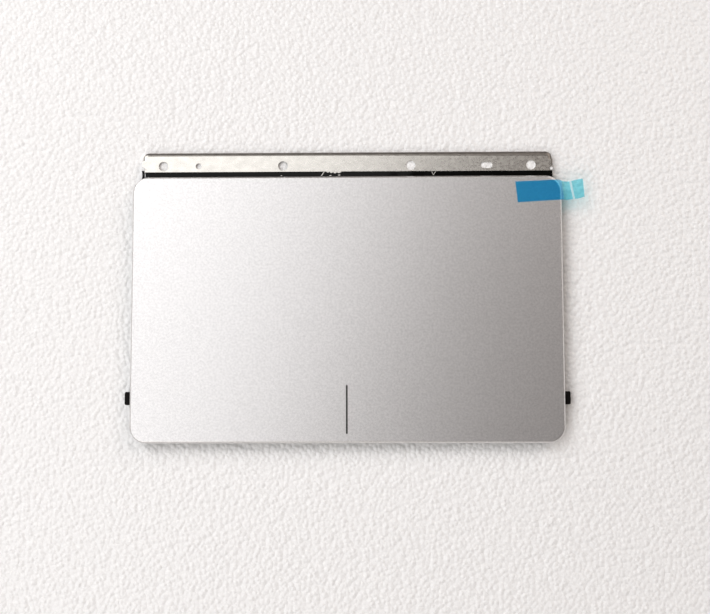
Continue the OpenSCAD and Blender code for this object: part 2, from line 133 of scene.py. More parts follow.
# Lamps, in metres and degrees: name, place, width, depth, turn about its own axis, strength,
# colour, and the point that it faces
LAMPS = [
    ("ceiling_lamp", (-0.49, 0.168, 0.75), 1.0, 1.0, -16.2, 3.82, NEUTRAL, UNDER_CEILING_LAMP),
    ("rear_left_lamp", (-0.75, 0.75, 0.95), 0.9, 0.9, 0, 8.0, NEUTRAL, OVER_PAD),
    ("left_lamp", (-1.05, -0.05, 0.9), 0.9, 0.9, 0, 1.15, NEUTRAL, OVER_PAD),
    ("front_left_lamp", (-0.75, -0.85, 0.9), 0.9, 0.9, 0, 7.0, NEUTRAL, OVER_PAD),
    ("front_lamp", (-0.3, -1.12, 0.9), 0.9, 0.9, 0, 2.8, WARM, OVER_PAD),
    ("rear_right_lamp", (0.85, 0.75, 0.85), 0.9, 0.9, 0, 7.8, WARM, OVER_PAD),
]
WORLD_COLOUR = (1.06, 0.92, 0.84, 1)
WORLD_STRENGTH = 0.111


def make_light():
    for name, place, width, depth, turn, strength, colour, target in LAMPS:
        data = bpy.data.lights.new(name, "AREA")
        data.shape = "RECTANGLE"
        data.size = width
        data.size_y = depth
        data.energy = strength * width * depth
        data.color = colour
        lamp = bpy.data.objects.new(name, data)
        bpy.context.scene.collection.objects.link(lamp)
        lamp.location = place
        aim = Vector(target) - Vector(place)
        own_turn = Quaternion((0, 0, 1), math.radians(turn))
        lamp.rotation_euler = (aim.to_track_quat("-Z", "Y") @ own_turn).to_euler()
    world = bpy.data.worlds.new("studio")
    world.use_nodes = True
    background = world.node_tree.nodes["Background"]
    background.inputs["Color"].default_value = WORLD_COLOUR
    background.inputs["Strength"].default_value = WORLD_STRENGTH
    bpy.context.scene.world = world
    bpy.context.scene.view_settings.view_transform = "Standard"


# Materials: the names are the record's material slots, apart from the flange's painted-shade bend
# finish, board_track, the tab's lightened overhang and crease finishes, and floor_white

# Most of a noise's values lie between these two
NOISE_LOW = 0.3
NOISE_HIGH = 0.7
# Layers of detail in a noise of large patches and in a noise of fine grain
PATCH_DETAIL = 3.0
GRAIN_DETAIL = 2.0


def new_material(name):
    material = bpy.data.materials.new(name)
    material.use_nodes = True
    return material, material.node_tree, material.node_tree.nodes["Principled BSDF"]


def noise(tree, size, detail=GRAIN_DETAIL, stretch=(1, 1, 1)):
    """Noise from 0 to 1 in lumps of that size in millimetres, drawn out where stretch is small."""
    coordinates = tree.nodes.new("ShaderNodeTexCoord")
    mapping = tree.nodes.new("ShaderNodeMapping")
    mapping.inputs["Scale"].default_value = stretch
    texture = tree.nodes.new("ShaderNodeTexNoise")
    texture.inputs["Scale"].default_value = 1 / (size * MM)
    texture.inputs["Detail"].default_value = detail
    tree.links.new(coordinates.outputs["Object"], mapping.inputs["Vector"])
    tree.links.new(mapping.outputs["Vector"], texture.inputs["Vector"])
    return texture.outputs["Fac"]


def spread(tree, source, low, high):
    """The middle of a noise's range, spread from low to high."""
    node = tree.nodes.new("ShaderNodeMapRange")
    node.inputs["From Min"].default_value = NOISE_LOW
    node.inputs["From Max"].default_value = NOISE_HIGH
    node.inputs["To Min"].default_value = low
    node.inputs["To Max"].default_value = high
    tree.links.new(source, node.inputs["Value"])
    return node.outputs["Result"]


def set_ends(ramp, places, tones):
    """Sets the two ends of a colour ramp."""
    for element, place, tone in zip(ramp.elements, places, tones):
        element.position = place
        element.color = (*tone, 1)


def two_tone(tree, source, dark, light):
    """A colour between dark and light, as the source says."""
    node = tree.nodes.new("ShaderNodeValToRGB")
    set_ends(node.color_ramp, (NOISE_LOW, NOISE_HIGH), (dark, light))
    tree.links.new(source, node.inputs["Fac"])
    return node.outputs["Color"]


def relief(tree, shader, source, height):
    """A bump of that height in millimetres."""
    node = tree.nodes.new("ShaderNodeBump")
    node.inputs["Distance"].default_value = height * MM
    tree.links.new(source, node.inputs["Height"])
    tree.links.new(node.outputs["Normal"], shader.inputs["Normal"])


def finish(name, colour, roughness, metallic=0.0, patch=0.6, patch_share=0.08, grain=0.12,
           grain_height=0.003, rough_share=0.15, stretch=(1, 1, 1), **sockets):
    """A finish with colour patches, uneven gloss and a fine grain."""
    material, tree, shader = new_material(name)
    patches = noise(tree, patch, PATCH_DETAIL, stretch)
    dark = [c * (1 - patch_share) for c in colour]
    light = [min(1, c * (1 + patch_share)) for c in colour]
    tree.links.new(two_tone(tree, patches, dark, light), shader.inputs["Base Color"])
    fine = noise(tree, grain, GRAIN_DETAIL, stretch)
    low, high = roughness * (1 - rough_share), roughness * (1 + rough_share)
    tree.links.new(spread(tree, fine, low, high), shader.inputs["Roughness"])
    relief(tree, shader, fine, grain_height)
    shader.inputs["Metallic"].default_value = metallic
    for socket, value in sockets.items():
        shader.inputs[socket.replace("_", " ")].default_value = value
    return material


def see_through(name, tint, colour, cover_share, roughness):
    """Clear or tinted film: light passes, tinted, except for the share that the surface covers."""
    patch, dark_share = 1.2, 0.85
    ripple, ripple_height = 0.7, 0.02
    material, tree, shader = new_material(name)
    shade = noise(tree, patch, PATCH_DETAIL)
    dark = [c * dark_share for c in colour]
    tree.links.new(two_tone(tree, shade, dark, colour), shader.inputs["Base Color"])
    shader.inputs["Roughness"].default_value = roughness
    relief(tree, shader, noise(tree, ripple), ripple_height)
    clear = tree.nodes.new("ShaderNodeBsdfTransparent")
    clear.inputs["Color"].default_value = (*tint, 1)
    mix = tree.nodes.new("ShaderNodeMixShader")
    mix.inputs["Fac"].default_value = cover_share
    tree.links.new(clear.outputs["BSDF"], mix.inputs[1])
    tree.links.new(shader.outputs["BSDF"], mix.inputs[2])
    tree.links.new(mix.outputs["Shader"], tree.nodes["Material Output"].inputs["Surface"])
    return material


def laminate(name, colour, edge_colour, layer):
    """Board: a masked face, and glass layers of that thickness that show at its cut edge."""
    roughness = 0.35
    patch, dark_share, dark_edge_share = 0.8, 0.8, 0.6
    grain, grain_height = 0.3, 0.004
    material, tree, shader = new_material(name)
    coordinates = tree.nodes.new("ShaderNodeTexCoord")
    split = tree.nodes.new("ShaderNodeSeparateXYZ")
    wave = tree.nodes.new("ShaderNodeMath")
    wave.operation = "SINE"
    scale = tree.nodes.new("ShaderNodeMath")
    scale.operation = "MULTIPLY"
    scale.inputs[1].default_value = 2 * math.pi / (layer * MM)
    tree.links.new(coordinates.outputs["Object"], split.inputs["Vector"])
    tree.links.new(split.outputs["Z"], scale.inputs[0])
    tree.links.new(scale.outputs["Value"], wave.inputs[0])
    dark_edge = [c * dark_edge_share for c in edge_colour]
    layers = two_tone(tree, wave.outputs["Value"], dark_edge, edge_colour)
    dark = [c * dark_share for c in colour]
    mask = two_tone(tree, noise(tree, patch, PATCH_DETAIL), dark, colour)
    geometry = tree.nodes.new("ShaderNodeNewGeometry")
    up = tree.nodes.new("ShaderNodeSeparateXYZ")
    flat = tree.nodes.new("ShaderNodeMath")
    flat.operation = "ABSOLUTE"
    tree.links.new(geometry.outputs["Normal"], up.inputs["Vector"])
    tree.links.new(up.outputs["Z"], flat.inputs[0])
    mix = tree.nodes.new("ShaderNodeMix")
    mix.data_type = "RGBA"
    tree.links.new(flat.outputs["Value"], mix.inputs["Factor"])
    tree.links.new(layers, mix.inputs["A"])
    tree.links.new(mask, mix.inputs["B"])
    tree.links.new(mix.outputs["Result"], shader.inputs["Base Color"])
    shader.inputs["Roughness"].default_value = roughness
    relief(tree, shader, noise(tree, grain), grain_height)
    return material


def foam(name, colour, bead):
    """White foam of fused beads of that size, with bright specks painted in as glints off the
    beads' facets.
    """
    roughness = 0.38
    lump, glint_size = bead * 1.8, bead * 0.45
    dome_weight = -0.8
    height = bead * 0.3
    dull = [c * 0.96 for c in colour]
    glint_tone = [min(1, c * 1.16) for c in colour]
    dull_end, plain_place, glint_start = 0.4, 0.62, 0.76
    material, tree, shader = new_material(name)
    coordinates = tree.nodes.new("ShaderNodeTexCoord")
    cells = tree.nodes.new("ShaderNodeTexVoronoi")
    cells.inputs["Scale"].default_value = 1 / (bead * MM)
    cells.inputs["Randomness"].default_value = 1.0
    tree.links.new(coordinates.outputs["Object"], cells.inputs["Vector"])
    domes = tree.nodes.new("ShaderNodeMath")
    domes.operation = "MULTIPLY_ADD"
    domes.inputs[1].default_value = dome_weight
    tree.links.new(cells.outputs["Distance"], domes.inputs[0])
    tree.links.new(noise(tree, lump, PATCH_DETAIL), domes.inputs[2])
    relief(tree, shader, domes.outputs["Value"], height)
    # Painted glints: specks lighter than the foam, with darker specks of random tone
    glint_ramp = tree.nodes.new("ShaderNodeValToRGB")
    set_ends(glint_ramp.color_ramp, (dull_end, glint_start), (dull, glint_tone))
    plain = glint_ramp.color_ramp.elements.new(plain_place)
    plain.color = (*colour, 1)
    tree.links.new(noise(tree, glint_size), glint_ramp.inputs["Fac"])
    tree.links.new(glint_ramp.outputs["Color"], shader.inputs["Base Color"])
    shader.inputs["Roughness"].default_value = roughness
    return material


# Finishes: colour, roughness, and what differs from the usual settings
FINISHES = {
    "cover_silver": ((0.80, 0.79, 0.785), 0.34, {
        "metallic": 1, "patch": 0.5, "patch_share": 0.09, "grain": 0.16, "grain_height": 0.002,
        "rough_share": 0.06}),
    "flange_steel": ((0.76, 0.737, 0.695), 0.285, {
        "metallic": 1, "patch": 1.5, "grain": 0.6, "grain_height": 0.001, "stretch": (0.7, 1, 1)}),
    # Painted shade: a dark steel for the flange's bends, standing in for the dark room that they
    # reflect
    "bend_painted_shade": ((0.25, 0.232, 0.215), 0.4, {
        "metallic": 1, "patch": 0.9, "patch_share": 0.15, "grain": 0.2, "grain_height": 0.006,
        "stretch": (0.4, 1, 1)}),
    "spring_steel": ((0.55, 0.55, 0.56), 0.28, {"metallic": 1, "stretch": (1, 0.15, 1)}),
    "carrier_steel": ((0.62, 0.62, 0.61), 0.32, {
        "metallic": 1, "patch": 2.5, "patch_share": 0.1, "grain": 0.2, "stretch": (1, 0.1, 1)}),
    "rivet_steel": ((0.6, 0.6, 0.6), 0.25, {"metallic": 1}),
    "tinned_metal": ((0.75, 0.75, 0.74), 0.3, {
        "metallic": 1, "patch": 0.25, "patch_share": 0.12, "grain": 0.15, "grain_height": 0.005}),
    "contact_gold": ((0.86, 0.62, 0.25), 0.25, {"metallic": 1}),
    "strip_black": ((0.003, 0.003, 0.003), 0.1, {
        "patch": 1.5, "patch_share": 0.3, "grain": 0.9, "grain_height": 0.01,
        "stretch": (0.3, 1, 1), "Specular_IOR_Level": 0.13}),
    "divider_grey": ((0.02, 0.018, 0.016), 0.6, {
        "patch": 0.3, "patch_share": 0.2, "Specular_IOR_Level": 0.25}),
    "adhesive": ((0.72, 0.72, 0.66), 0.5, {}),
    "board_track": ((0.03, 0.085, 0.045), 0.33, {"patch_share": 0.15}),
    "chip_black": ((0.018, 0.018, 0.02), 0.55, {"grain": 0.08, "grain_height": 0.006}),
    "capacitor_ceramic": ((0.33, 0.2, 0.11), 0.5, {"patch_share": 0.15}),
    "resistor_black": ((0.015, 0.015, 0.018), 0.3, {}),
    "connector_ivory": ((0.78, 0.74, 0.64), 0.45, {}),
    "flap_brown": ((0.06, 0.04, 0.03), 0.45, {}),
    "switch_black": ((0.02, 0.02, 0.022), 0.45, {}),
    "button_ivory": ((0.7, 0.66, 0.55), 0.4, {}),
    "ear_rubber": ((0.004, 0.003, 0.003), 0.6, {
        "grain": 0.1, "grain_height": 0.006, "Specular_IOR_Level": 0.1}),
    "bumper_rubber": ((0.02, 0.02, 0.021), 0.75, {"grain": 0.1, "grain_height": 0.008}),
}
# Films: tint, colour of the surface, share that the surface covers, and roughness
FILMS = {
    "film_clear": ((0.995, 0.995, 0.998), (0.8, 0.82, 0.85), 0.02, 0.12),
    "tab_blue": ((0.57, 0.93, 0.99), (0.0, 0.3, 1.0), 0.14, 0.22),
    # The overhang of the same tab, painted lighter and paler: painted light that stands in for the
    # light reaching it from the sides
    "tab_overhang_painted_light": ((0.62, 0.945, 0.98), (0.1, 0.5, 0.7), 0.13, 0.3),
    # The crease, whiter and more covering: partly stress-whitening of the film, partly a painted
    # highlight along the crease
    "tab_crease_highlight": ((0.85, 0.98, 1), (0.7, 0.93, 1), 0.55, 0.3),
}


def make_materials():
    made = {}
    for name, (colour, roughness, settings) in FINISHES.items():
        made[name] = finish(name, colour, roughness, **settings)
    for name, looks in FILMS.items():
        made[name] = see_through(name, *looks)
    made["board_mask"] = laminate("board_mask", colour=(0.012, 0.03, 0.02),
                                  edge_colour=(0.25, 0.27, 0.14), layer=0.2)
    made["floor_white"] = foam("floor_white", colour=(0.92, 0.925, 0.935), bead=1.1)
    return made


materials = make_materials()


# Mesh helpers: shapes are in millimetres

def rounded_rect(w, d, r, steps=12):
    """Points of a rectangle with round corners about the origin, anticlockwise."""
    points = []
    for quarter, (sx, sy) in enumerate([(1, -1), (1, 1), (-1, 1), (-1, -1)]):
        for i in range(steps + 1):
            angle = math.radians(90 * (quarter - 1 + i / steps))
            x = sx * (w / 2 - r) + r * math.cos(angle)
            y = sy * (d / 2 - r) + r * math.sin(angle)
            points.append((x, y))
    return points


def rounded_edge(z, width, up):
    """A profile's rounded edge, from the face at z to the side: up is 1, or -1 to go down."""
    return [(width, z), (width * EASE, z + up * width * EASE), (0, z + up * width)]


def ring(bm, points, z, x=0.0, y=0.0):
    return [bm.verts.new((x + px, y + py, z)) for px, py in points]


def bridge(bm, rings):
    for low, high in zip(rings, rings[1:]):
        for i in range(len(low)):
            j = (i + 1) % len(low)
            bm.faces.new((low[i], low[j], high[j], high[i]))


def fill_between(bm, outer, inner):
    """Fills the flat area inside the outer ring and outside the inner one."""
    edges = []
    for loop in (outer, inner):
        for a, b in zip(loop, loop[1:] + loop[:1]):
            edges.append(bm.edges.get((a, b)) or bm.edges.new((a, b)))
    bmesh.ops.triangle_fill(bm, use_beauty=True, use_dissolve=False, edges=edges)


def slab(bm, x, y, w, d, r, profile, steps=12, pocket=None):
    """A block with round corners, drawn in by each inset at each height of its profile.

    A pocket is an outline in the last face and the insets and heights of its walls."""
    pocket_steps = 6
    rings = []
    for inset, z in profile:
        points = rounded_rect(w - 2 * inset, d - 2 * inset, max(r - inset, HAIR), steps)
        rings.append(ring(bm, points, z, x, y))
    bridge(bm, rings)
    bm.faces.new(rings[0])
    if pocket is None:
        bm.faces.new(rings[-1])
        return
    (px, py, pw, pd, pr), walls = pocket
    inner = []
    for inset, z in walls:
        points = rounded_rect(pw - 2 * inset, pd - 2 * inset, max(pr - inset, HAIR), pocket_steps)
        inner.append(ring(bm, points, z, px, py))
    bridge(bm, inner)
    bm.faces.new(inner[-1])
    fill_between(bm, rings[-1], inner[0])


def turned(bm, x, y, profile, steps=32):
    """A turned solid about the vertical line at x, y. Its profile starts and ends on that line."""
    rings = []
    for radius, z in profile[1:-1]:
        turns = [2 * math.pi * i / steps for i in range(steps)]
        points = [(radius * math.cos(a), radius * math.sin(a)) for a in turns]
        rings.append(ring(bm, points, z, x, y))
    bridge(bm, rings)
    for end, loop in ((profile[0], rings[0]), (profile[-1], rings[-1])):
        pole = bm.verts.new((x, y, end[1]))
        for a, b in zip(loop, loop[1:] + loop[:1]):
            bm.faces.new((a, b, pole))


def block(bm, low, high, material_index=0):
    """A plain box, for a piece whose edges are softened later."""
    x = (low[0], high[0])
    y = (low[1], high[1])
    corners = [[bm.verts.new((x[i], y[j], z)) for i, j in ((0, 0), (1, 0), (1, 1), (0, 1))]
               for z in (low[2], high[2])]
    faces = [bm.faces.new(corners[0]), bm.faces.new(corners[1])]
    for i in range(4):
        j = (i + 1) % 4
        faces.append(bm.faces.new((corners[0][i], corners[0][j], corners[1][j], corners[1][i])))
    for face in faces:
        face.material_index = material_index


def prism(bm, points, low, high):
    """An outline drawn up from low to high."""
    rings = [ring(bm, points, low), ring(bm, points, high)]
    bridge(bm, rings)
    bm.faces.new(rings[0])
    bm.faces.new(rings[1])


def cut(bm, point, normal):
    """Splits the faces along the plane through the point."""
    bmesh.ops.bisect_plane(bm, geom=bm.verts[:] + bm.edges[:] + bm.faces[:],
                           plane_co=point, plane_no=normal)


def cad_shape(node, whole=True):
    """The CAD node's own shape in millimetres, with its flat faces whole again if asked."""
    bm = bmesh.new()
    bm.from_mesh(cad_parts[node].data)
    bmesh.ops.remove_doubles(bm, verts=bm.verts, dist=WELD)
    if whole:
        bmesh.ops.dissolve_limit(bm, angle_limit=FLAT_ANGLE, verts=bm.verts, edges=bm.edges)
    bmesh.ops.scale(bm, vec=(1 / MM,) * 3, verts=bm.verts)
    return bm


def soften(piece, width, segments):
    """Rounds the piece's crisp edges. The width is in millimetres."""
    bevel = piece.modifiers.new("soft_edges", "BEVEL")
    bevel.width = width * MM
    bevel.segments = segments
    bevel.limit_method = "ANGLE"
    bevel.angle_limit = CRISP_ANGLE


def even_normals(piece):
    """Lets the large faces set the shading, so that flat faces look flat up to their rims."""
    large_face_weight = 100
    weighted = piece.modifiers.new("even_normals", "WEIGHTED_NORMAL")
    weighted.keep_sharp = True
    weighted.weight = large_face_weight


def make_piece(name, bm, body, slots, replaced=(), edge=0.0, segments=2):
    """Turns bm into a piece that rides on the body. Slots name its materials, the main one first.

    The floor has no body and replaces nothing, so it is not hung on a body."""
    bmesh.ops.scale(bm, vec=(MM,) * 3, verts=bm.verts)
    bmesh.ops.recalc_face_normals(bm, faces=bm.faces)
    mesh = bpy.data.meshes.new(name)
    bm.to_mesh(mesh)
    bm.free()
    for polygon in mesh.polygons:
        polygon.use_smooth = True
    mesh.set_sharp_from_angle(angle=CRISP_ANGLE)
    for slot in slots:
        mesh.materials.append(materials[slot])
    piece = bpy.data.objects.new(name, mesh)
    bpy.context.scene.collection.objects.link(piece)
    if edge:
        soften(piece, edge, segments)
    if body:
        even_normals(piece)
        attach(piece, body)
    if replaced:
        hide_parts(*replaced)
    return piece


def soften_node(node, body, slot, edge, segments=2, whole=True):
    """Stands the same shape with soft edges in for a CAD node."""
    return make_piece(node + "_soft", cad_shape(node, whole), body, [slot], [node], edge, segments)


# Touch plate

def make_cover():
    """The touch plate with the groove of its dividing line, and the inlay in that groove."""
    corner_r = 4.0
    corner_steps = 16
    foot = 0.05
    # The bevelled rim, from the side to the face: how far it is drawn in, and its depth
    rim = [(0, 0.52), (0.02, 0.475), (0.35, 0.055), (0.41, 0.015), (0.5, 0)]
    top = PAD_HIGH.z
    profile = [(foot, PAD_LOW.z), (0, PAD_LOW.z + foot)]
    profile += [(inset, top - depth) for inset, depth in rim]
    line_low, line_high = box_mm("divider_line")
    groove_w = line_high.x - line_low.x
    groove_d = line_high.y - line_low.y
    groove_y = (line_low.y + line_high.y) / 2
    lip = 0.02
    groove = ((0, groove_y, groove_w, groove_d, groove_w / 2 - HAIR),
              [(0, top), (lip / 2, top - lip), (lip, line_low.z)])
    bm = bmesh.new()
    slab(bm, *middle_of(PAD_LOW, PAD_HIGH), PAD_HIGH.x - PAD_LOW.x, PAD_HIGH.y - PAD_LOW.y,
         corner_r, profile, corner_steps, groove)
    make_piece("touch_plate", bm, "pad", ["cover_silver"], ["touch_cover"])
    inlay_depth = 0.03
    inlay_steps = 6
    bm = bmesh.new()
    slab(bm, 0, groove_y, groove_w - 2 * lip, groove_d - 2 * lip, groove_w / 2 - lip - HAIR,
         [(0, line_low.z), (0, top - inlay_depth - lip), (lip, top - inlay_depth)], inlay_steps)
    make_piece("divider_inlay", bm, "pad", ["divider_grey"], ["divider_line"])


# Flange, strip and the marks between them

# Slivers of scuffed metal and adhesive, each from one point to another with a width
SLIVERS = [
    ((-6.25, -2.5), (-5.45, -1.3), 0.22),
    ((-4.3, -2.5), (-3.8, -2.4), 0.2),
    ((-2.1, -2.4), (-1.6, -2.25), 0.25),
    ((-16.3, -2.45), (-16.0, -2.4), 0.16),
    ((20.9, -1.5), (21.38, -2.4), 0.2),
    ((21.9, -1.5), (21.4, -2.4), 0.2),
]
# Lower edge of the burr on the flange's front edge
BURR = [(-5.2, -1.4), (-4.7, -1.72), (-4.3, -1.55), (-3.8, -1.85), (-3.3, -1.62), (-2.95, -1.98),
        (-2.4, -1.66), (-1.9, -1.88), (-1.3, -1.55), (-0.8, -1.4)]
# How far the strip's edges, and the lows of its waves, lie below its top
STRIP_DIP = 0.04


def make_flange():
    """The flange and the spring leaves.

    Painted shade: the flange is painted darker where it is bent, in a band at its rear right and at
    its right end, standing in for the dark room that the bends reflect. Its lit left end stays
    bright."""
    corner_r = 2.1
    end_w = 0.3
    flat, tilted = 0.999, 0.01
    left_slope = 1.3
    # The band of painted shade runs behind a line that comes forward a little to the right
    shade_band_w = 1.0
    shade_band_y = FLANGE_HIGH.y - shade_band_w
    shade_band_slope = 0.006
    end_x = FLANGE_HIGH.x - end_w
    bm = cad_shape("mounting_flange")
    cut(bm, (end_x, 0, 0), (1, 0, 0))
    cut(bm, (0, shade_band_y, 0), (shade_band_slope, 1, 0))
    bm.normal_update()
    for face in bm.faces:
        middle, normal = face.calc_center_median(), face.normal
        outer = middle.y > FLANGE_HIGH.y - corner_r or abs(middle.x) > FLANGE_HIGH.x - corner_r
        bent = normal.z < flat and max(normal.x, normal.y) > tilted
        lit_left_end = normal.x < 0 and normal.y < -left_slope * normal.x
        behind = middle.y - shade_band_y > -shade_band_slope * middle.x and middle.x > 0
        # Painted shade on the outer bends except the lit left end, on the band behind, and on the
        # right end
        face.material_index = int(outer and bent and not lit_left_end or behind or middle.x > end_x)
    make_piece("mounting_flange_soft", bm, "flange", ["flange_steel", "bend_painted_shade"],
               ["mounting_flange"], edge=0.07, segments=3)
    soften_node("hinge_leaves", "flange", "spring_steel", edge=0.04)


def make_burr():
    """The burr on the flange's front edge, which reaches back a little into the flange."""
    burr_t = 0.08
    reach = 0.1
    back_y = max(y for x, y in BURR) + reach
    points = BURR + [(BURR[-1][0], back_y), (BURR[0][0], back_y)]
    bm = bmesh.new()
    prism(bm, points, FLANGE_HIGH.z - 2 * burr_t, FLANGE_HIGH.z - burr_t)
    make_piece("front_edge_burr", bm, "flange", ["flange_steel"], edge=0.02)


def make_strip():
    """The black strip, a little uneven along its length and crowned across it."""
    left = -49.8
    columns = 160
    # Where its top has points from its front to its rear, as shares of its depth
    across = [0, 0.12, 0.35, 0.65, 0.88, 1]
    # Two waves that are multiplied, in radians for each millimetre
    short_wave, long_wave = 0.9, 0.23
    crown_power = 4
    bm = bmesh.new()
    rings = []
    for i in range(columns + 1):
        x = left + (STRIP_HIGH.x - left) * i / columns
        wave = 0.5 + 0.5 * math.sin(x * short_wave) * math.sin(x * long_wave + 1)
        loop = []
        for share in across:
            y = STRIP_LOW.y + (STRIP_HIGH.y - STRIP_LOW.y) * share
            crown = 1 - (2 * share - 1) ** crown_power
            z = STRIP_HIGH.z - STRIP_DIP * (1 - crown) - STRIP_DIP * wave * crown
            loop.append(bm.verts.new((x, y, z)))
        loop.append(bm.verts.new((x, STRIP_HIGH.y, STRIP_LOW.z)))
        loop.append(bm.verts.new((x, STRIP_LOW.y, STRIP_LOW.z)))
        rings.append(loop)
    bridge(bm, rings)
    bm.faces.new(rings[0])
    bm.faces.new(rings[-1])
    make_piece("dust_seal", bm, "flange", ["strip_black"], ["dust_strip"])


def make_seal_end():
    """The strip's curved end, past a narrow gap at its left."""
    x, y = -50.3, -2.1
    end_r = 3.2
    half_w = 0.3
    arc = [math.radians(a) for a in range(-20, 21, 5)]
    outer = [(x + end_r * (math.cos(a) - 1) + half_w, y + end_r * math.sin(a)) for a in arc]
    inner = [(px - 2 * half_w, py) for px, py in reversed(outer)]
    bm = bmesh.new()
    prism(bm, outer + inner, STRIP_LOW.z, STRIP_HIGH.z - STRIP_DIP)
    make_piece("seal_end", bm, "flange", ["strip_black"], edge=0.05)


def make_slivers():
    """The slivers on the strip. Each lies more to one side of its line at its start, and more to
    the other at its end."""
    start_share, end_share = 0.4, 0.5
    bm = bmesh.new()
    for (x0, y0), (x1, y1), width in SLIVERS:
        along = Vector((x1 - x0, y1 - y0)).normalized()
        side = Vector((-along.y, along.x)) * width / 2
        points = [(x0 + side.x, y0 + side.y),
                  (x0 - side.x * start_share, y0 - side.y * start_share),
                  (x1 - side.x, y1 - side.y),
                  (x1 + side.x * end_share, y1 + side.y * end_share)]
        prism(bm, points, STRIP_HIGH.z - STRIP_DIP, STRIP_HIGH.z + HAIR)
    make_piece("strip_slivers", bm, "flange", ["flange_steel"])


# Film and pull tab

# Ribs of the tab from the plate to its free end: x and y of the rear point, x and y of the front
# point, and the heights of the rear and the front point, measured from the tab's top on the film
TAB_RIBS = [
    (41.22, -4.57, 41.74, -9.69, 0, 0),
    (46.27, -4.37, 46.8, -9.4, 0, 0),
    (51.32, -4.17, 51.86, -9.11, 0, 0),
    (53.0, -4.5, 53.7, -9.1, -0.42, -0.3),
    (54.56, -4.58, 55.45, -8.95, 0, -0.02),
    (56.1, -4.1, 56.75, -8.75, -0.4, -0.25),
    (57.66, -3.89, 58.06, -8.27, -0.15, -0.5),
]
# The rib at the crease, and the place among the ribs where the tab leaves the plate
CREASE_RIB = 4
LOOSE_RIB = 2.6


def through(values, t):
    """The smooth curve through the values at t, which runs from 0 to 1."""
    last = len(values) - 1
    i = min(int(t * last), last - 1)
    u = t * last - i
    before, start = values[max(i - 1, 0)], values[i]
    end, after = values[i + 1], values[min(i + 2, last)]
    slope = end - before
    bend = 2 * before - 5 * start + 4 * end - after
    twist = 3 * start - before - 3 * end + after
    return 0.5 * (2 * start + slope * u + bend * u ** 2 + twist * u ** 3)


def thin_sheet(bm, grid, thickness, finish_of_row):
    """A closed thin sheet under a grid of points. Each row of faces has the finish given for it."""
    sheets = []
    for drop in (0, thickness):
        sheets.append([[bm.verts.new((p.x, p.y, p.z - drop)) for p in row] for row in grid])
    rows, columns = len(grid), len(grid[0])
    for sheet in sheets:
        for i in range(rows - 1):
            for j in range(columns - 1):
                face = bm.faces.new((sheet[i][j], sheet[i + 1][j],
                                     sheet[i + 1][j + 1], sheet[i][j + 1]))
                face.material_index = finish_of_row[i]
    rim = [(0, j) for j in range(columns)]
    rim += [(i, columns - 1) for i in range(1, rows)]
    rim += [(rows - 1, j) for j in range(columns - 2, -1, -1)]
    rim += [(i, 0) for i in range(rows - 2, 0, -1)]
    top, bottom = ([sheet[i][j] for i, j in rim] for sheet in sheets)
    bridge(bm, [bottom, top])


def make_film():
    corner_r = 3.55
    low, high = box_mm("protective_film")
    bm = bmesh.new()
    slab(bm, *middle_of(low, high), high.x - low.x, high.y - low.y, corner_r,
         [(0, low.z + HAIR), (0, high.z - HAIR), (HAIR, high.z)])
    make_piece("clear_film", bm, "film", ["film_clear"], ["protective_film"])


def make_tab():
    """The pull tab, rippled where it hangs past the plate and bent across its crease. Its overhang
    is painted lighter and paler as light, and its crease carries a painted highlight.
    """
    length_steps = 72
    width_steps = 14
    ripple = 0.03
    ripple_x, ripple_y = 5, 4
    low, high = box_mm("pull_tab")
    grid = []
    for i in range(length_steps + 1):
        rear_x, rear_y, front_x, front_y, rear_rise, front_rise = (
            through(values, i / length_steps) for values in zip(*TAB_RIBS))
        row = []
        for j in range(width_steps + 1):
            share = j / width_steps
            x = rear_x + (front_x - rear_x) * share
            y = rear_y + (front_y - rear_y) * share
            rise = rear_rise + (front_rise - rear_rise) * share
            if x > PAD_HIGH.x:
                wave = 1 + math.sin(ripple_x * x + ripple_y * y)
                rise -= ripple * wave * min(1, x - PAD_HIGH.x)
            row.append(Vector((x, y, high.z + min(0, rise))))
        grid.append(row)
    rows_per_rib = length_steps // (len(TAB_RIBS) - 1)
    crease_row = CREASE_RIB * rows_per_rib
    crease_half = 2
    loose_row = round(LOOSE_RIB * rows_per_rib)
    # Finishes of the rows: the stuck tab, the crease with its painted highlight, and the overhang
    # painted lighter
    stuck, crease, loose = range(3)
    finish_of_row = [stuck if i < loose_row else loose for i in range(length_steps)]
    for i in range(crease_row - crease_half, crease_row + crease_half):
        finish_of_row[i] = crease
    bm = bmesh.new()
    thin_sheet(bm, grid, high.z - low.z - HAIR, finish_of_row)
    tab = make_piece("pull_tab_strip", bm, None, ["tab_blue", "tab_crease_highlight", "tab_overhang_painted_light"],
                     ["pull_tab", "pull_tab_end"])
    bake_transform(tab)


# Ears, bumpers and the carrier

# Rubber at both sides of the pad: node, name, finish, width, corner radius, width of the rounded
# edges, and whether the upper edge is rounded too
SIDE_RUBBER = [("ear_caps", "rubber_ears", "ear_rubber", 2.65, 0.45, 0.12, True),
               ("corner_bumpers", "rubber_bumpers", "bumper_rubber", 8.0, 0.9, 0.35, False)]


def make_side_rubber():
    for node, name, slot, width, corner_r, soft, soft_above in SIDE_RUBBER:
        low, high = box_mm(node)
        above = rounded_edge(high.z, soft, -1)[::-1] if soft_above else [(0, high.z)]
        bm = bmesh.new()
        for side in (-1, 1):
            slab(bm, side * (high.x - width / 2), (low.y + high.y) / 2, width, high.y - low.y,
                 corner_r, rounded_edge(low.z, soft, 1) + above)
        make_piece(name, bm, "pad", [slot], [node])


